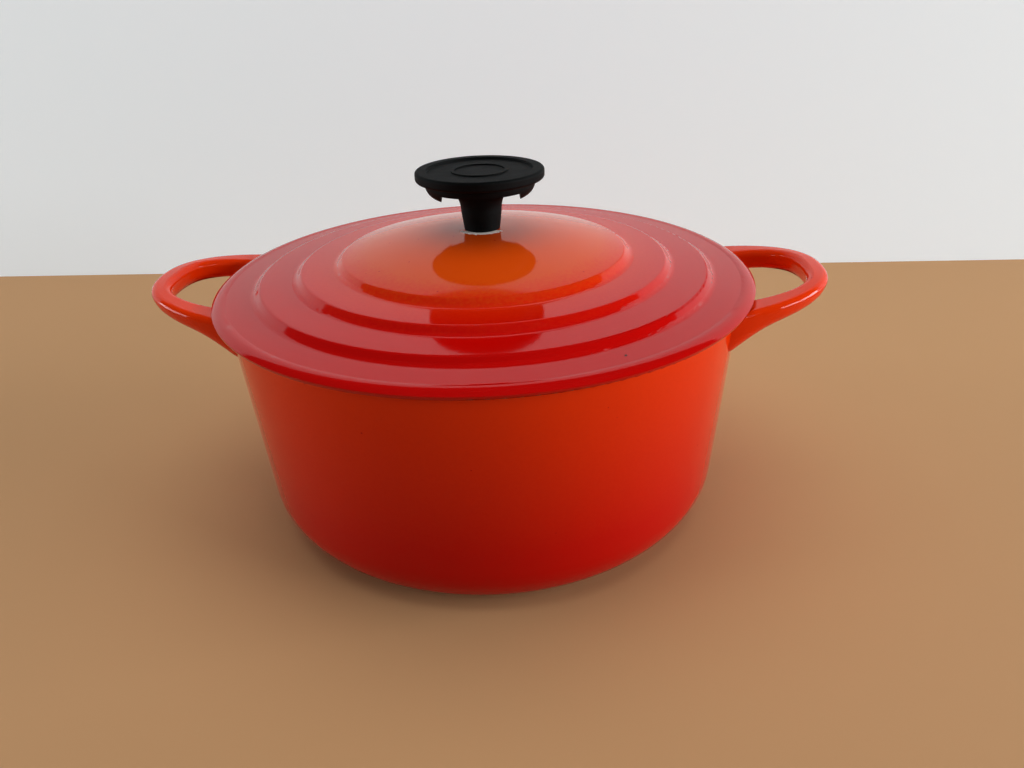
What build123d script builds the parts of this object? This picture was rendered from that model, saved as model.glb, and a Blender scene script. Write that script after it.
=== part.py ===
from build123d import *
import math
import os

# Enamelled cast iron dutch oven: a round pot with two loop handles cast in one
# with its wall, and a stepped lid with a screwed-on knob. Millimetres, +Z up,
# origin at the centre of the base, handles along X.

# ---- driving dimensions ----

# pot
pot_height = 92.1           # floor to the top of the black rim
rim_radius = 100.9          # outside of the wall at the rim, before its edge is eased
wall_taper = 4.1            # degrees the wall leans out from the base to the rim
wall = 3.9                  # iron wall, square to its face
floor_thickness = 4.5
base_corner = 18.6          # outside radius between wall and base
inner_corner = 15.0
foot_width = 14.0           # flat ring that the pot stands on
foot_recess = 0.6           # how far the middle of the base stands up from the ring
rim_edge = 1.1              # eased edges of the rim
coat = 0.35                 # thickness of the fired enamel layers that are their own nodes
rim_coat_depth = 3.0        # how far the black rim enamel runs down inside the pot
rim_coat_edge = 0.21        # rounding of the black enamel's top edges

# loop handles
handle_projection = 34.1    # outside of a handle beyond the rim
handle_half_width = 40.9    # outside half width where the bars meet the pot
handle_bar = 8.3            # bar width at the middle of the loop
handle_root_bar = 13.4      # bar width at the roots
handle_set_in = 22.6        # middle of the loop's curve, inside the rim
handle_depth = 9.2          # bar height
handle_tilt = 8.5           # degrees the loop rises outwards
handle_drop = 0.35          # loop's top below the rim where the lid's edge passes over it
handle_top_round = 2.5
handle_keel_round = 5.8     # underside of the bar, outer corner
handle_heel_round = 2.6     # underside of the bar, corner on the finger side
handle_heel_lift = 1.5      # how much shallower the bar is on the finger side
handle_outer_square = 2.26  # 2 is an ellipse, more is squarer
handle_inner_square = 3.0
root_flare = 6.4            # extra depth where a bar runs into the wall
root_spread = 1.6           # extra width there
root_fade = 7.2             # distance from the wall over which the flare dies out
root_fade_power = 1.5       # how suddenly it does

# lid
lid_overhang = 5.1          # lid's edge beyond the pot's rim
lid_gap = 0.25              # lid's seat above the pot's rim
lid_thickness = 3.6
lid_edge_round = 5.35       # width of the rounded-off top edge
lid_edge_drop = 1.4         # how far that edge falls
flange_width = 15.5         # flat edge of the lid outside the last step
step_pitch = 16.0           # from one step's foot to the next
step_count = 3
step_height = 2.6
step_run = 2.6              # width of a step's slope
tread_fall = 0.6            # fall of each tread towards the edge
dome_rise = 8.1
step_crest_round = 1.6
step_foot_round = 3.4
under_shift_share = 0.45    # of the lid's thickness: how much further in its underside steps
guide_ring_width = 3.2      # rib under the lid that keeps it centred in the pot
guide_ring_depth = 3.0
guide_clearance = 1.3       # between the rib and the pot's enamelled wall

# knob
knob_radius = 24.9
knob_disc = 3.85
knob_height = 23.2          # from the dome to the top of the knob
knob_rim_width = 4.3
knob_dish = 0.9             # depth of the dished top
knob_band_radius = 11.0     # raised plain band in the dish
knob_band_width = 1.4
knob_band_height = 0.5
knob_edge = 1.1
lip_radius = 21.3           # bowl-shaped body under the disc; its edges are the finger lips
lip_depth = 6.3
lip_foot_radius = 17.6
grip_channel = 29.7         # straight channel cut across that body, leaving the two lips
channel_ceiling = 3.0       # thickness left between the channel and the disc
knob_turn = 5.0             # degrees; the knob was tightened a little off the handles' line
stem_radius = 7.05
stem_swell = 0.9            # the stem is this much thicker where its bell starts
bell_reach = 6.0            # how far the stem spreads to meet the channel's ceiling
bell_drop = 9.5             # height over which it does

# knob fixing
screw_radius = 3.0
thread_pitch = 1.0
thread_depth = 0.55
thread_engagement = 11.0
screw_clearance = 0.05      # running clearance of the thread's crest in the insert
hole_clearance = 0.6        # round the screw where it passes through the lid
insert_wall = 1.6           # brass left outside the screw
insert_length = 15.0
insert_groove = 0.7
screw_head_radius = 7.5
screw_head_height = 2.9
screw_head_edge = 0.3       # straight side of the head, as a share of its height
screw_dome_width = 0.6      # where the dome's curve passes: this share of the head's radius,
screw_dome_height = 0.78    # at this share of its height
head_gap = 0.05             # between the head and the washer, when done up
head_slot_width = 1.4
head_slot_depth = 1.3
washer_radius = 6.6
washer_thickness = 1.1
washer_bore_clearance = 0.3
washer_gap_angle = 9.0      # degrees left open in the split lock washer
washer_cut_lean = 35.0      # degrees that the split leans

# ---- worked out from those ----

handle_reach = rim_radius + handle_projection
handle_centre = rim_radius - handle_set_in
lid_radius = rim_radius + lid_overhang
lid_hole_radius = screw_radius + hole_clearance
insert_radius = screw_radius + insert_wall
taper = math.tan(math.radians(wall_taper))
wall_level = wall / math.cos(math.radians(wall_taper))
seat_z = pot_height + lid_gap
lid_top = seat_z + lid_thickness
step_feet = [lid_radius - flange_width - step_pitch * (step_count - 1 - i) for i in range(step_count)]
dome_radius = step_feet[0] - step_run
flange_fall = tread_fall
# height of the tread outside each step's foot, innermost first
foot_z = [lid_top + flange_fall + (step_height + tread_fall) * (step_count - 1 - i)
          for i in range(step_count)]
dome_edge_z = foot_z[0] + step_height
dome_top = dome_edge_z + dome_rise
knob_top = dome_top + knob_height
disc_under = knob_top - knob_disc
under_shift = lid_thickness * under_shift_share
iron_seat_z = seat_z + coat
flange_under_z = foot_z[-1] - lid_thickness
rib_outer = rim_radius - wall_level - guide_clearance
rib_inner = rib_outer - guide_ring_width


def wall_radius(z, inset=0.0):
    """Radius of the pot's outside wall at height z, less a level inset."""
    return rim_radius - (pot_height - z) * taper - inset


def spun(face):
    """Turns a face drawn as radius and height about the pot's axis."""
    return revolve(Plane.XZ * face, Axis.Z, 360)


def bowl(inset, bottom, corner, top):
    """Solid of the pot's tapered bowl shape, from bottom to top."""
    lean = math.radians(wall_taper)
    rise = corner * (1 - math.sin(lean))
    out = corner * math.cos(lean)
    start = wall_radius(bottom + rise, inset)
    mid_angle = (math.pi / 2 + lean) / 2
    flat = start - out
    mid = (flat + corner * math.cos(mid_angle), bottom + corner * (1 - math.sin(mid_angle)))
    outline = [
        Line((0, bottom), (flat, bottom)),
        ThreePointArc((flat, bottom), mid, (start, bottom + rise)),
        Line((start, bottom + rise), (wall_radius(top, inset), top)),
        Line((wall_radius(top, inset), top), (0, top)),
        Line((0, top), (0, bottom)),
    ]
    return spun(make_face(Curve() + outline).face())


def base_flat_radius():
    lean = math.radians(wall_taper)
    rise = base_corner * (1 - math.sin(lean))
    return wall_radius(rise) - base_corner * math.cos(lean)


def cavity(skin):
    """Inside of the pot; skin is how far outside the finished enamel it reaches."""
    return bowl(wall_level - skin, floor_thickness - skin, inner_corner + skin, pot_height + 20)


def ring(outer, inner, bottom, height):
    body = Pos(0, 0, bottom) * Cylinder(outer, height, align=(Align.CENTER, Align.CENTER, Align.MIN))
    return body - Pos(0, 0, bottom - 1) * Cylinder(
        inner, height + 2, align=(Align.CENTER, Align.CENTER, Align.MIN))


# ---- loop handles ----

def loop_point(angle, reach, half_width, square):
    """Point on the loop's plan outline: a squared-off ellipse."""
    c, s = math.cos(angle), math.sin(angle)
    x = handle_centre + (reach - handle_centre) * abs(c) ** (2 / square)
    y = math.copysign(half_width * abs(s) ** (2 / square), s)
    return Vector(x, y, 0)


def loop_top_z(x):
    """Height of the loop's top face: just under the lid's edge, then rising."""
    return pot_height - handle_drop + (x - (rim_radius - 3)) * math.tan(math.radians(handle_tilt))


def bar_section(angle):
    """Rounded section of the handle bar at one place round the loop."""
    outer = loop_point(angle, handle_reach, handle_half_width, handle_outer_square)
    inner = loop_point(angle, handle_reach - handle_bar,
                       handle_half_width - handle_root_bar, handle_inner_square)
    middle = (outer + inner) / 2
    from_wall = max(0.0, middle.length - wall_radius(pot_height - handle_depth))
    flare = math.exp(-(from_wall / root_fade) ** root_fade_power)
    width = (outer - inner).length + root_spread * flare
    depth = handle_depth + root_flare * flare
    across = (outer - inner).normalized()
    along = Vector(-across.Y, across.X, 0)
    # in this frame X runs across the bar, outwards, and Y runs down
    frame = Plane(origin=Vector(middle.X, middle.Y, loop_top_z(middle.X)), x_dir=across, z_dir=along)
    half = width / 2
    heel = depth - handle_heel_lift
    outline = FilletPolyline((-half, 0), (half, 0), (half, depth), (-half, heel), close=True,
                             radius=[handle_top_round, handle_top_round,
                                     handle_keel_round, handle_heel_round])
    return frame * make_face(outline).face()


def loop_handle():
    half = [0, 15, 30, 45, 56, 64, 70, 76, 82, 90]
    stations = [-a for a in reversed(half[1:])] + half
    return loft([bar_section(math.radians(a)) for a in stations])


def pot_casting():
    iron_top = pot_height - coat
    body = bowl(0, 0, base_corner, iron_top)
    rim_outer = body.edges().filter_by(GeomType.CIRCLE).sort_by(Axis.Z)[-1]
    body = fillet(rim_outer, rim_edge)
    right = loop_handle()
    body = body + right + mirror(right, Plane.YZ)
    body -= cavity(coat)
    recess_radius = base_flat_radius() - foot_width
    recess = Cone(recess_radius, recess_radius - 2 * foot_recess, foot_recess,
                  align=(Align.CENTER, Align.CENTER, Align.MIN))
    return body - recess


def pot_interior_enamel():
    layer = cavity(coat) - cavity(0)
    return layer & Cylinder(rim_radius, pot_height - rim_coat_depth,
                            align=(Align.CENTER, Align.CENTER, Align.MIN))


def pot_rim_enamel():
    """Matt black coat on the rim and just inside it."""
    top_band = ring(wall_radius(pot_height) - rim_edge - 0.1, wall_radius(pot_height) - wall_level,
                    pot_height - coat, coat)
    top_band = fillet(top_band.edges().filter_by(GeomType.CIRCLE).sort_by(Axis.Z)[-2:], rim_coat_edge)
    lining = cavity(coat) - cavity(0)
    low = pot_height - rim_coat_depth
    band = ring(rim_radius, rim_radius - 3 * wall, low, rim_coat_depth - coat)
    return top_band + (lining & band)


# ---- lid ----

def dome_arc(inward, down):
    """The dome's arc from the crown to its edge, moved inwards and down for the underside."""
    chord = dome_radius - inward
    crown_z = dome_top - down
    sphere = (chord ** 2 + dome_rise ** 2) / (2 * dome_rise)
    half = chord / 2
    mid = (half, crown_z - sphere + math.sqrt(sphere ** 2 - half ** 2))
    return ThreePointArc((0, crown_z), mid, (chord, crown_z - dome_rise))


def underside_sag(radius):
    """How far the dome's underside has fallen at a small radius from its crown."""
    chord = dome_radius - under_shift
    sphere = (chord ** 2 + dome_rise ** 2) / (2 * dome_rise)
    return sphere - math.sqrt(sphere ** 2 - radius ** 2)


def stepped_line(inward, down, end):
    """Steps and treads from the dome's edge to the point end, with every corner eased."""
    points = []
    radii = []
    for foot, z in zip(step_feet, foot_z):
        points += [(foot - step_run - inward, z + step_height - down), (foot - inward, z - down)]
        radii += [step_crest_round, step_foot_round]
    return FilletPolyline(*points, end, radius=radii[1:])


def lid_section(lines):
    """Closed outline of the lid or of a layer of it, with the dome's crest eased."""
    return make_face(Curve() + lines).face()


def eased_crest(face, inward, down):
    """Rounds the corner between the dome and its first step."""
    x = dome_radius - inward
    z = dome_edge_z - down
    corner = min(face.vertices(), key=lambda v: math.hypot(v.X - x, v.Y - z))
    return face.fillet_2d(step_crest_round, [corner])


def lid_hole():
    return Pos(0, 0, dome_top) * Cylinder(lid_hole_radius, 4 * lid_thickness)


def lid_casting():
    flat_end = lid_radius - lid_edge_round
    edge_z = lid_top - lid_edge_drop
    under_edge = lid_radius - (edge_z - iron_seat_z)
    bulge = math.sqrt(0.5)
    rim_top_mid = (flat_end + lid_edge_round * bulge, edge_z + lid_edge_drop * bulge)
    rim_under_mid = (under_edge + (lid_radius - under_edge) * bulge,
                     iron_seat_z + (edge_z - iron_seat_z) * (1 - bulge))
    rib_out = rib_outer - coat
    rib_in = rib_inner + coat
    rib_foot = seat_z - guide_ring_depth + coat
    face = lid_section([
        dome_arc(0, 0),
        stepped_line(0, 0, (flat_end, lid_top)),
        ThreePointArc((flat_end, lid_top), rim_top_mid, (lid_radius, edge_z)),
        ThreePointArc((lid_radius, edge_z), rim_under_mid, (under_edge, iron_seat_z)),
        Polyline((under_edge, iron_seat_z), (rib_out, iron_seat_z), (rib_out, rib_foot),
                 (rib_in, rib_foot), (rib_in, flange_under_z)),
        stepped_line(under_shift, lid_thickness, (rib_in, flange_under_z)),
        dome_arc(under_shift, lid_thickness),
        Line((0, dome_top - lid_thickness), (0, dome_top)),
    ])
    face = eased_crest(face, 0, 0)
    face = eased_crest(face, under_shift, lid_thickness)
    return spun(face) - lid_hole()


def lid_interior_enamel():
    """Pale enamel under the dome, from the hole to the guide rib."""
    rib_in = rib_inner + coat
    below = lid_thickness + coat
    face = lid_section([
        dome_arc(under_shift, lid_thickness),
        stepped_line(under_shift, lid_thickness, (rib_in, flange_under_z)),
        Line((rib_in, flange_under_z), (rib_in, flange_under_z - coat)),
        stepped_line(under_shift, below, (rib_in, flange_under_z - coat)),
        dome_arc(under_shift, below),
        Line((0, dome_top - below), (0, dome_top - lid_thickness)),
    ])
    face = eased_crest(face, under_shift, lid_thickness)
    face = eased_crest(face, under_shift, below)
    return spun(face) - lid_hole()


def lid_rim_enamel():
    """Matt black coat on the seat and round the guide rib."""
    edge = lid_radius - (lid_top - lid_edge_drop - iron_seat_z)
    foot = seat_z - guide_ring_depth
    join = flange_under_z - coat
    outline = Polyline(
        (edge, iron_seat_z), (edge - coat, seat_z), (rib_outer, seat_z), (rib_outer, foot),
        (rib_inner, foot), (rib_inner, join), (rib_inner + coat, join), (rib_inner + coat, foot + coat),
        (rib_outer - coat, foot + coat), (rib_outer - coat, iron_seat_z), (edge, iron_seat_z))
    return spun(make_face(outline).face())


# ---- knob and its fixing ----

# the flat washer meets the domed underside at the washer's outer edge
washer_top = dome_top - lid_thickness - coat - underside_sag(washer_radius)


def knob():
    """Moulded knob: dished disc, finger lips each side of a straight channel, and bell-shaped stem."""
    bell_x = stem_radius + stem_swell
    ceiling_z = disc_under - channel_ceiling
    dish_x = knob_radius - knob_rim_width
    dish_z = knob_top - knob_dish
    outline = [
        Polyline((0, dome_top), (stem_radius, dome_top), (bell_x, ceiling_z - bell_drop)),
        EllipticalCenterArc((bell_x + bell_reach, ceiling_z - bell_drop), bell_reach, bell_drop,
                            90, arc_size=90),
        Polyline((bell_x + bell_reach, ceiling_z), (bell_x + bell_reach, disc_under),
                 (knob_radius, disc_under), (knob_radius, knob_top),
                 (dish_x, knob_top), (dish_x - knob_dish / 2, dish_z), (0, dish_z), (0, dome_top)),
    ]
    body = spun(make_face(Curve() + outline).face())
    rim_edges = body.edges().filter_by(GeomType.CIRCLE).filter_by(
        lambda e: abs(e.radius - knob_radius) < 0.01)
    body = fillet(rim_edges, knob_edge)
    body = body + finger_lips()
    body = body + ring(knob_band_radius, knob_band_radius - knob_band_width, dish_z - 0.1,
                       knob_band_height + 0.1)
    return body - insert_blank()


def finger_lips():
    low = disc_under - lip_depth
    bulge = math.sqrt(0.5)
    mid = (lip_foot_radius + (lip_radius - lip_foot_radius) * bulge, disc_under - lip_depth * bulge)
    outline = [
        Line((0, low), (lip_foot_radius, low)),
        ThreePointArc((lip_foot_radius, low), mid, (lip_radius, disc_under)),
        Polyline((lip_radius, disc_under), (lip_radius, disc_under + knob_disc / 2),
                 (0, disc_under + knob_disc / 2), (0, low)),
    ]
    skirt = spun(make_face(Curve() + outline).face())
    channel = Pos(0, 0, disc_under - channel_ceiling) * Box(
        grip_channel, 4 * knob_radius, lip_depth, align=(Align.CENTER, Align.CENTER, Align.MAX))
    return Rot(0, 0, knob_turn) * (skirt - channel)


def insert_blank():
    """Outside of the brass insert, with the two grooves that the plastic fills."""
    body = Pos(0, 0, dome_top) * Cylinder(
        insert_radius, insert_length, align=(Align.CENTER, Align.CENTER, Align.MIN))
    for share in (1 / 3, 2 / 3):
        body -= ring(insert_radius + 1, insert_radius - insert_groove,
                     dome_top + insert_length * share - insert_groove, 2 * insert_groove)
    return body


def knob_insert():
    bore = screw_radius + screw_clearance
    return insert_blank() - Pos(0, 0, dome_top + insert_length / 2) * Cylinder(bore, 2 * insert_length)


def screw_washer():
    """Split spring washer between the screw's head and the lid."""
    body = ring(washer_radius, screw_radius + washer_bore_clearance,
                washer_top - washer_thickness, washer_thickness)
    gap = 2 * washer_radius * math.sin(math.radians(washer_gap_angle) / 2)
    cut = Pos(washer_radius, 0, washer_top) * Rot(washer_cut_lean, 0, 0) * Box(
        2 * washer_radius, gap, 6 * washer_thickness)
    return body - cut


def knob_screw():
    """Domed slotted screw from under the lid; its thread is a row of rings."""
    head_top = washer_top - washer_thickness - head_gap
    tip = dome_top + thread_engagement
    count = int((tip - head_top) / thread_pitch) - 1
    root = screw_radius - thread_depth
    side = [(0, head_top), (screw_radius, head_top), (screw_radius, tip - (count + 0.5) * thread_pitch)]
    for i in range(count):
        z = tip - (count - i) * thread_pitch
        side += [(root, z), (screw_radius, z + thread_pitch / 2)]
    side += [(root, tip), (0, tip), (0, head_top)]
    shank = spun(make_face(Polyline(*side)).face())
    rise = screw_head_height
    edge_height = rise * screw_head_edge
    dome = [
        Polyline((0, head_top), (screw_head_radius, head_top), (screw_head_radius, head_top - edge_height)),
        ThreePointArc((screw_head_radius, head_top - edge_height),
                      (screw_head_radius * screw_dome_width, head_top - rise * screw_dome_height),
                      (0, head_top - rise)),
        Line((0, head_top - rise), (0, head_top)),
    ]
    head = spun(make_face(Curve() + dome).face())
    slot = Pos(0, 0, head_top - rise) * Box(head_slot_width, 3 * screw_head_radius, 2 * head_slot_depth)
    return shank + (head - slot)


parts = {
    "pot_casting": pot_casting,
    "pot_interior_enamel": pot_interior_enamel,
    "pot_rim_enamel": pot_rim_enamel,
    "lid_casting": lid_casting,
    "lid_interior_enamel": lid_interior_enamel,
    "lid_rim_enamel": lid_rim_enamel,
    "knob": knob,
    "knob_insert": knob_insert,
    "knob_screw": knob_screw,
    "screw_washer": screw_washer,
}

os.makedirs("parts", exist_ok=True)
for name, make in parts.items():
    solid = make()
    export_step(solid, f"parts/{name}.step")
    print(name, round(solid.volume))
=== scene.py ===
import math

import bpy
from mathutils import Matrix, Vector


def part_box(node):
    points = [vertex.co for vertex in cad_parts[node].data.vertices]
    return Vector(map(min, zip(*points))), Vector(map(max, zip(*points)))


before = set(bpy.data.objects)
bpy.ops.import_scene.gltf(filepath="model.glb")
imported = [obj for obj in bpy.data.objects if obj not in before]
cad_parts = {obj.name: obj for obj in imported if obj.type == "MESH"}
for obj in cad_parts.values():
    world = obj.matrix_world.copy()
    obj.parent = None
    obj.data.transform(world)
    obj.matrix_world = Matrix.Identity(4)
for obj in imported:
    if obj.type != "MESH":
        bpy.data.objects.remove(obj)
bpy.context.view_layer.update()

# An enamelled cast iron dutch oven, dressed on its CAD frame. Metres, +Z up, origin at the
# centre of the base, handles along X. Every piece keeps its CAD shape; this script gives each
# its finish, with the wear of use: glaze broken off round the knob's foot, a chip on the lid's
# edge and a base ring scuffed by the hob.

MM = 0.001

# ---- places read from the frame ----

rim_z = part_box("pot_rim_enamel")[1].z
lid_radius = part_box("lid_casting")[1].x

# ---- finishes: colours are sRGB, sizes are millimetres ----

# flame enamel, shaded by the sprayer from orange to deep red
ORANGE = "#CE460A"
POT_ORANGE = "#DC3102"
ORANGE_RED = "#CB2103"
RED = "#BC0501"
DEEP_RED = "#B40200"
GLAZE_EDGE = "#F1E6DC"       # pale ground coat that shows where the top coat has broken off
IRON = "#2A2420"             # cast iron at the bottom of a chip
CREAM = "#E6DAC0"
CREAM_STAIN = "#B89B6E"
SATIN_BLACK = "#161514"
PHENOLIC = "#030404"
PHENOLIC_DUST = "#161918"
BRASS = "#C8A45A"
STAINLESS = "#B9B8B4"
SPRING_STEEL = "#8E8B88"

ENAMEL_ROUGHNESS = 0.07
LID_GLOSS = 0.33             # weaker than new glass: years of washing have etched the skin
POT_GLOSS = 0.2              # the side is rubbed and splashed more
CHIPPED_ROUGHNESS = 0.6
CHIP_DEPTH = 20              # depth of a chip, in heights of the orange peel
ORANGE_PEEL = 2.6            # mm between the soft waves in the fired enamel
ORANGE_PEEL_DEPTH = 0.012
PINHOLE_PITCH = 9.0          # mm between gas pinholes
SPRAY_PITCH = 1.3            # mm between the droplets' faint mottles, drawn coarser than real
SPRAY_SHARE = 0.12           # how far along the colour ramp they scatter
MOULD_GRAIN = 0.45           # mm, spark-eroded grain of the moulded knob
FLOOR_COLOUR = "#B68C61"
WALL_COLOUR = "#E3EDF1"

# where the glaze is broken, millimetres
KNOB_FOOT_RADIUS = 7.05
FOOT_BREAK_WIDTH = 2.2
EDGE_CHIP = (50.0, -82.6, 95.8)
EDGE_CHIP_SIZE = 0.6


def linear(colour):
    """sRGB hex to the linear RGBA that shaders take."""
    parts = [int(colour[i:i + 2], 16) / 255 for i in (1, 3, 5)]
    return [p / 12.92 if p <= 0.04045 else ((p + 0.055) / 1.055) ** 2.4 for p in parts] + [1.0]


def add(tree, kind, inputs=None, stops=None, **settings):
    """Adds one node: sets its properties, fills or links its inputs, and lays out ramp stops."""
    made = tree.nodes.new(kind)
    for key, value in settings.items():
        setattr(made, key, value)
    for key, value in (inputs or {}).items():
        if isinstance(value, bpy.types.NodeSocket):
            tree.links.new(value, made.inputs[key])
        else:
            made.inputs[key].default_value = value
    if stops:
        ramp = made.color_ramp
        while len(ramp.elements) < len(stops):
            ramp.elements.new(0.5)
        for element, (place, colour) in zip(ramp.elements, sorted(stops)):
            element.position = place
            element.color = linear(colour) if isinstance(colour, str) else [colour] * 3 + [1.0]
    return made


def start(name, **sockets):
    """A new material: its node tree, its Principled shader and the object-space position."""
    material = bpy.data.materials.new(name)
    material.use_nodes = True
    tree = material.node_tree
    shader = tree.nodes["Principled BSDF"]
    for key, value in sockets.items():
        shader.inputs[key.replace("_", " ")].default_value = value
    place = add(tree, "ShaderNodeTexCoord").outputs["Object"]
    return material, tree, shader, place


def per_metre(millimetres):
    return 1000 / millimetres


# ---- enamel ----

def fired_surface(tree, shader, place, height_extra=None):
    """Soft orange peel of a glaze that has flowed in the kiln."""
    wave = add(tree, "ShaderNodeTexNoise", {
        "Vector": place, "Scale": per_metre(ORANGE_PEEL), "Detail": 2.0, "Roughness": 0.4})
    slow = add(tree, "ShaderNodeTexNoise", {
        "Vector": place, "Scale": per_metre(5 * ORANGE_PEEL), "Detail": 1.0})
    height = add(tree, "ShaderNodeMath", {0: slow.outputs["Fac"], 1: 3.0, 2: wave.outputs["Fac"]},
                 operation="MULTIPLY_ADD").outputs[0]
    if height_extra is not None:
        height = add(tree, "ShaderNodeMath", {0: height, 1: height_extra}, operation="ADD").outputs[0]
    bump = add(tree, "ShaderNodeBump", {
        "Height": height, "Strength": 0.55, "Distance": ORANGE_PEEL_DEPTH * MM})
    tree.links.new(bump.outputs["Normal"], shader.inputs["Normal"])


def pinholes(tree, place, pitch, size):
    """1 inside sparse pinholes of that size in millimetres, 0 elsewhere."""
    cells = add(tree, "ShaderNodeTexVoronoi", {
        "Vector": place, "Scale": per_metre(pitch), "Randomness": 1.0})
    return add(tree, "ShaderNodeMath", {0: cells.outputs["Distance"], 1: size / pitch},
               operation="LESS_THAN").outputs[0]


def radius_of(tree, place):
    """Distance from the pot's axis, in metres."""
    flat = add(tree, "ShaderNodeVectorMath", {0: place, 1: (1.0, 1.0, 0.0)}, operation="MULTIPLY")
    return add(tree, "ShaderNodeVectorMath", {0: flat.outputs[0]}, operation="LENGTH").outputs["Value"]


def drift(tree, place, value, pitch, amount):
    """value, moved to and fro by a slow noise, as a hand-held spray gun leaves it."""
    cloud = add(tree, "ShaderNodeTexNoise", {
        "Vector": place, "Scale": per_metre(pitch), "Detail": 2.0})
    centred = add(tree, "ShaderNodeMath", {0: cloud.outputs["Fac"], 1: 0.5}, operation="SUBTRACT")
    return add(tree, "ShaderNodeMath", {0: centred.outputs[0], 1: amount, 2: value},
               operation="MULTIPLY_ADD").outputs[0]


def blended(tree, factor, first, second):
    """Colour first where factor is 0 and second where it is 1."""
    return add(tree, "ShaderNodeMix", {0: factor, 6: first, 7: second}, data_type="RGBA").outputs[2]


def flame_enamel(name, shade, gloss):
    """Vitreous enamel, glazed over cast iron: a glass skin (IOR 1.46) over saturated colour.

    The eye sees a hard wet gloss, a slow colour change from the spraying, and a faint ripple.
    """
    material, tree, shader, place = start(name, IOR=1.46, Specular_IOR_Level=gloss)
    colour, broken = shade(tree, place)
    specks = pinholes(tree, place, PINHOLE_PITCH, 0.35)
    colour = blended(tree, specks, colour, linear(DEEP_RED))
    tree.links.new(colour, shader.inputs["Base Color"])
    rough = add(tree, "ShaderNodeMapRange", {
        "Value": broken, "To Min": ENAMEL_ROUGHNESS, "To Max": CHIPPED_ROUGHNESS})
    tree.links.new(rough.outputs[0], shader.inputs["Roughness"])
    dent = add(tree, "ShaderNodeMath", {0: broken, 1: -CHIP_DEPTH}, operation="MULTIPLY").outputs[0]
    fired_surface(tree, shader, place, dent)
    return material


def pot_shade(tree, place):
    """Orange under the rim and on the handles, deep red towards the base."""
    level = add(tree, "ShaderNodeSeparateXYZ", {0: place}).outputs["Z"]
    height = drift(tree, place, level, 60, 14 * MM)
    share = add(tree, "ShaderNodeMath", {0: height, 1: rim_z}, operation="DIVIDE").outputs[0]
    share = drift(tree, place, share, SPRAY_PITCH, SPRAY_SHARE)
    ramp = add(tree, "ShaderNodeValToRGB", {"Fac": share}, stops=[
        (0.05, DEEP_RED), (0.30, RED), (0.62, ORANGE_RED), (0.95, POT_ORANGE)])
    scuffed = below(tree, drift(tree, place, level, 4, 0.8 * MM), 0.06)
    return blended(tree, scuffed, ramp.outputs["Color"], linear(IRON)), scuffed


def below(tree, value, limit):
    """1 where a length in metres is below a limit in millimetres, 0 elsewhere."""
    return add(tree, "ShaderNodeMath", {0: value, 1: limit * MM}, operation="LESS_THAN").outputs[0]


def foot_break(tree, place):
    """Glaze crushed off the front of the knob's seat by years of tightening, in a ragged ring."""
    ragged = drift(tree, place, radius_of(tree, place), 1.3, 3.4 * MM)
    ring = below(tree, ragged, KNOB_FOOT_RADIUS + FOOT_BREAK_WIDTH)
    across = add(tree, "ShaderNodeSeparateXYZ", {0: place}).outputs["Y"]
    front = below(tree, drift(tree, place, across, 3, 2 * MM), -4.0)
    return add(tree, "ShaderNodeMath", {0: ring, 1: front}, operation="MULTIPLY").outputs[0]


def edge_chip(tree, place):
    """A small knock on the flat edge of the lid, through to the iron."""
    away = add(tree, "ShaderNodeVectorMath", {0: place, 1: [c * MM for c in EDGE_CHIP]},
               operation="DISTANCE").outputs["Value"]
    return below(tree, drift(tree, place, away, 0.9, 1.2 * MM), EDGE_CHIP_SIZE)


def lid_shade(tree, place):
    """Orange dome, redder on every step out, with the chips it has picked up in use."""
    radius = radius_of(tree, place)
    share = add(tree, "ShaderNodeMath", {0: drift(tree, place, radius, 50, 8 * MM), 1: lid_radius},
                operation="DIVIDE").outputs[0]
    share = drift(tree, place, share, SPRAY_PITCH, SPRAY_SHARE)
    ramp = add(tree, "ShaderNodeValToRGB", {"Fac": share}, stops=[
        (0.44, ORANGE), (0.56, ORANGE_RED), (0.72, RED), (0.90, DEEP_RED)])
    pale = foot_break(tree, place)
    chip = edge_chip(tree, place)
    colour = blended(tree, pale, ramp.outputs["Color"], linear(GLAZE_EDGE))
    colour = blended(tree, chip, colour, linear(IRON))
    return colour, add(tree, "ShaderNodeMath", {0: pale, 1: chip}, operation="MAXIMUM").outputs[0]


def cream_enamel():
    """Sand-coloured interior enamel: glossy, faintly mottled, a little stained by cooking."""
    material, tree, shader, place = start("cream_vitreous_enamel", IOR=1.52, Roughness=0.14)
    cloud = add(tree, "ShaderNodeTexNoise", {
        "Vector": place, "Scale": per_metre(22), "Detail": 5.0, "Roughness": 0.6})
    stain = add(tree, "ShaderNodeMapRange", {
        "Value": cloud.outputs["Fac"], "From Min": 0.5, "From Max": 0.85, "To Max": 0.35})
    colour = blended(tree, stain.outputs[0], linear(CREAM), linear(CREAM_STAIN))
    specks = pinholes(tree, place, 5.0, 0.3)
    colour = blended(tree, specks, colour, linear(CREAM_STAIN))
    tree.links.new(colour, shader.inputs["Base Color"])
    fired_surface(tree, shader, place)
    return material


def black_enamel():
    """Satin black ground enamel on rim and seat: thin, dull, slightly gritty to the touch."""
    material, tree, shader, place = start("satin_black_enamel", IOR=1.5, Roughness=0.42)
    grit = add(tree, "ShaderNodeTexNoise", {
        "Vector": place, "Scale": per_metre(0.7), "Detail": 3.0, "Roughness": 0.6})
    colour = blended(tree, grit.outputs["Fac"], linear(SATIN_BLACK), linear(IRON))
    tree.links.new(colour, shader.inputs["Base Color"])
    bump = add(tree, "ShaderNodeBump", {
        "Height": grit.outputs["Fac"], "Strength": 0.5, "Distance": 0.03 * MM})
    tree.links.new(bump.outputs["Normal"], shader.inputs["Normal"])
    return material


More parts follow.
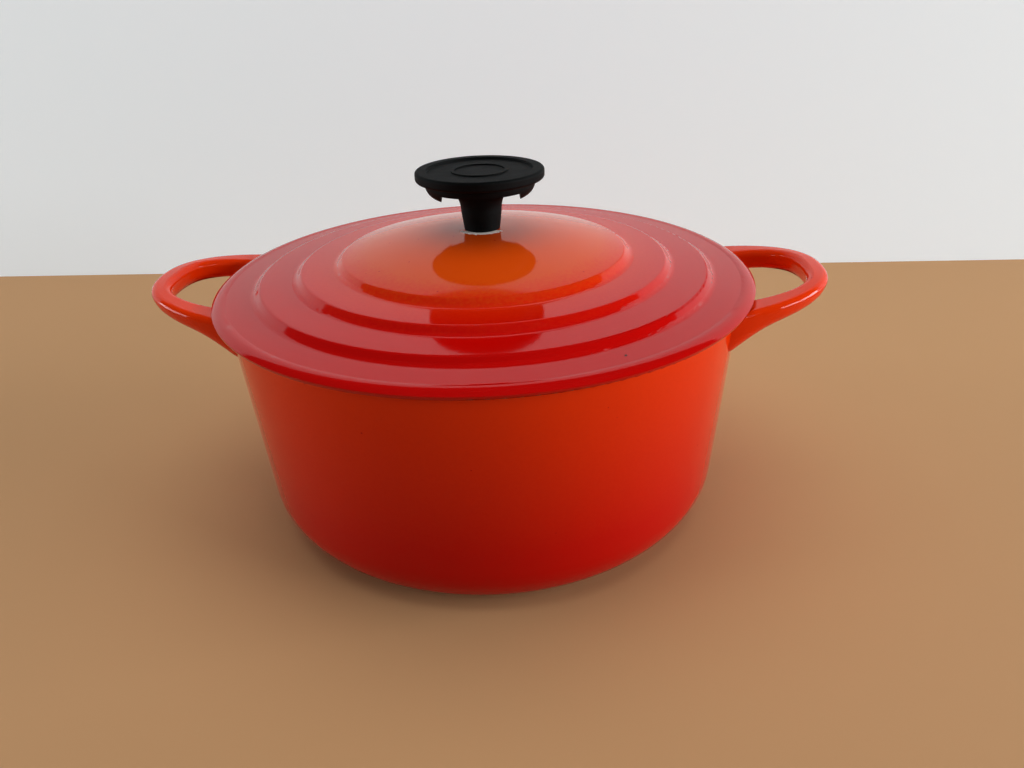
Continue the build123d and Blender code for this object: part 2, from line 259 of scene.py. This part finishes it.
# ---- knob and fixing ----

def phenolic():
    """Compression-moulded phenolic: near-black, dull, with the mould's fine spark grain."""
    material, tree, shader, place = start(
        "moulded_black_phenolic", IOR=1.4, Specular_IOR_Level=0.12)
    grain = add(tree, "ShaderNodeTexNoise", {
        "Vector": place, "Scale": per_metre(MOULD_GRAIN), "Detail": 3.0, "Roughness": 0.65})
    worn = add(tree, "ShaderNodeTexNoise", {
        "Vector": place, "Scale": per_metre(7), "Detail": 4.0, "Roughness": 0.7})
    dust = add(tree, "ShaderNodeMapRange", {
        "Value": worn.outputs["Fac"], "From Min": 0.42, "From Max": 0.8, "To Max": 0.35})
    speck = add(tree, "ShaderNodeMapRange", {
        "Value": grain.outputs["Fac"], "From Min": 0.62, "From Max": 0.8, "To Max": 0.5})
    both = add(tree, "ShaderNodeMath", {0: dust.outputs[0], 1: speck.outputs[0]}, operation="MAXIMUM")
    colour = blended(tree, both.outputs[0], linear(PHENOLIC), linear(PHENOLIC_DUST))
    tree.links.new(colour, shader.inputs["Base Color"])
    rough = add(tree, "ShaderNodeMapRange", {
        "Value": worn.outputs["Fac"], "To Min": 0.55, "To Max": 0.75})
    tree.links.new(rough.outputs[0], shader.inputs["Roughness"])
    bump = add(tree, "ShaderNodeBump", {
        "Height": grain.outputs["Fac"], "Strength": 0.6, "Distance": 0.05 * MM})
    tree.links.new(bump.outputs["Normal"], shader.inputs["Normal"])
    return material


def turned_metal(name, colour, roughness, groove):
    """Turned or drawn metal: fine rings round the axis, groove millimetres apart."""
    material, tree, shader, place = start(name, Metallic=1.0, Roughness=roughness)
    radius = radius_of(tree, place)
    height = add(tree, "ShaderNodeSeparateXYZ", {0: place}).outputs["Z"]
    along = add(tree, "ShaderNodeMath", {0: radius, 1: height}, operation="ADD").outputs[0]
    line = add(tree, "ShaderNodeCombineXYZ", {0: along})
    rings = add(tree, "ShaderNodeTexNoise", {
        "Vector": line.outputs[0], "Scale": per_metre(groove), "Detail": 2.0})
    cloud = add(tree, "ShaderNodeTexNoise", {"Vector": place, "Scale": per_metre(3), "Detail": 3.0})
    dark = add(tree, "ShaderNodeMapRange", {
        "Value": cloud.outputs["Fac"], "From Min": 0.4, "From Max": 0.9, "To Max": 0.5})
    shaded = blended(tree, dark.outputs[0], linear(colour), [c * 0.45 for c in linear(colour)[:3]] + [1])
    tree.links.new(shaded, shader.inputs["Base Color"])
    bump = add(tree, "ShaderNodeBump", {
        "Height": rings.outputs["Fac"], "Strength": 0.4, "Distance": 0.02 * MM})
    tree.links.new(bump.outputs["Normal"], shader.inputs["Normal"])
    return material


finishes = {
    "pot_casting": flame_enamel("flame_vitreous_enamel_pot", pot_shade, POT_GLOSS),
    "lid_casting": flame_enamel("flame_vitreous_enamel_lid", lid_shade, LID_GLOSS),
    "pot_interior_enamel": cream_enamel(),
    "pot_rim_enamel": black_enamel(),
    "knob": phenolic(),
    "knob_insert": turned_metal("turned_brass", BRASS, 0.32, 0.25),
    "knob_screw": turned_metal("rolled_stainless_steel", STAINLESS, 0.28, 0.3),
    "screw_washer": turned_metal("drawn_spring_steel", SPRING_STEEL, 0.38, 0.35),
}
finishes["lid_interior_enamel"] = finishes["pot_interior_enamel"]
finishes["lid_rim_enamel"] = finishes["pot_rim_enamel"]

for node, finish in finishes.items():
    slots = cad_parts[node].material_slots
    for one in slots:
        one.material = finish

# ---- stage: a plain pale floor, a plain pale wall behind, soft light ----

WALL_BEHIND = 0.28
WALL_HEIGHT = 0.50
FLOOR_REACH = 1.6


def plain(name, colour, roughness):
    material, tree, shader, place = start(name, Roughness=roughness)
    shader.inputs["Base Color"].default_value = linear(colour)
    shader.inputs["Specular IOR Level"].default_value = 0.2
    return material


def board(name, corners, material):
    mesh = bpy.data.meshes.new(name)
    mesh.from_pydata(corners, [], [tuple(range(len(corners)))])
    mesh.materials.append(material)
    made = bpy.data.objects.new(name, mesh)
    bpy.context.scene.collection.objects.link(made)
    return made


floor_paint = plain("matt_floor_paint", FLOOR_COLOUR, 0.75)
wall_paint = plain("matt_wall_paint", WALL_COLOUR, 0.9)
board("floor", [(-FLOOR_REACH, -FLOOR_REACH, 0), (FLOOR_REACH, -FLOOR_REACH, 0),
                (FLOOR_REACH, WALL_BEHIND, 0), (-FLOOR_REACH, WALL_BEHIND, 0)], floor_paint)
wall_paint.node_tree.nodes["Principled BSDF"].inputs["Emission Color"].default_value = linear(WALL_COLOUR)
wall_paint.node_tree.nodes["Principled BSDF"].inputs["Emission Strength"].default_value = 0.22
board("wall", [(-FLOOR_REACH, WALL_BEHIND, 0), (FLOOR_REACH, WALL_BEHIND, 0),
               (FLOOR_REACH, WALL_BEHIND, WALL_HEIGHT), (-FLOOR_REACH, WALL_BEHIND, WALL_HEIGHT)],
      wall_paint)


def area_light(name, place, aim, width, height, watts, colour):
    """A soft rectangular light at place, facing aim."""
    data = bpy.data.lights.new(name, "AREA")
    data.shape = "RECTANGLE"
    data.size = width
    data.size_y = height
    data.energy = watts
    data.color = linear(colour)[:3]
    made = bpy.data.objects.new(name, data)
    bpy.context.scene.collection.objects.link(made)
    made.location = place
    made.rotation_euler = (Vector(aim) - Vector(place)).to_track_quat("-Z", "Y").to_euler()
    return made


area_light("window_right", (2.2, -0.38, 0.62), (0, 0, 0.08), 1.8, 0.7, 56, "#FAFBFF")
area_light("window_left", (-1.6, -0.2, 0.4), (0, 0, 0.08), 1.0, 0.5, 11, "#F6FAFF")
area_light("lamp_front", (1.14, -1.38, 0.88), (0, 0, 0.09), 0.22, 0.16, 1.2, "#FFFFFF")
overhead = area_light("overhead", (0, 0, 1.2), (0, 0, 0), 1.2, 1.0, 8, "#FAFCFF")
overhead.visible_glossy = False

world = bpy.data.worlds.new("room")
world.use_nodes = True
world.node_tree.nodes["Background"].inputs["Color"].default_value = linear("#C9CBCC")
world.node_tree.nodes["Background"].inputs["Strength"].default_value = 0.1
bpy.context.scene.world = world
bpy.context.scene.view_settings.view_transform = "Standard"

# ---- camera: standing in front, a little to the right of square to the handles ----

CAMERA_DISTANCE = 0.3048      # from the pot's axis, level
CAMERA_HEIGHT = 0.2014
CAMERA_SIDE = 5.16            # degrees round the pot from its front
CAMERA_AIM = 1.78             # degrees that it looks to the right of the axis
CAMERA_DOWN = 27.42
CAMERA_ROLL = 2.08
CAMERA_LENS = 27.61

side = math.radians(CAMERA_SIDE)
heading = Matrix.Rotation(side - math.radians(CAMERA_AIM), 4, "Z")
tilt = Matrix.Rotation(math.radians(90 - CAMERA_DOWN), 4, "X")
roll = Matrix.Rotation(-math.radians(CAMERA_ROLL), 4, "Z")
stand = Matrix.Translation((CAMERA_DISTANCE * math.sin(side), -CAMERA_DISTANCE * math.cos(side),
                            CAMERA_HEIGHT))
camera_data = bpy.data.cameras.new("camera")
camera_data.lens = CAMERA_LENS
camera_data.sensor_width = 36
camera_data.clip_start = 0.01
camera = bpy.data.objects.new("camera", camera_data)
bpy.context.scene.collection.objects.link(camera)
camera.matrix_world = stand @ heading @ tilt @ roll
bpy.context.scene.camera = camera
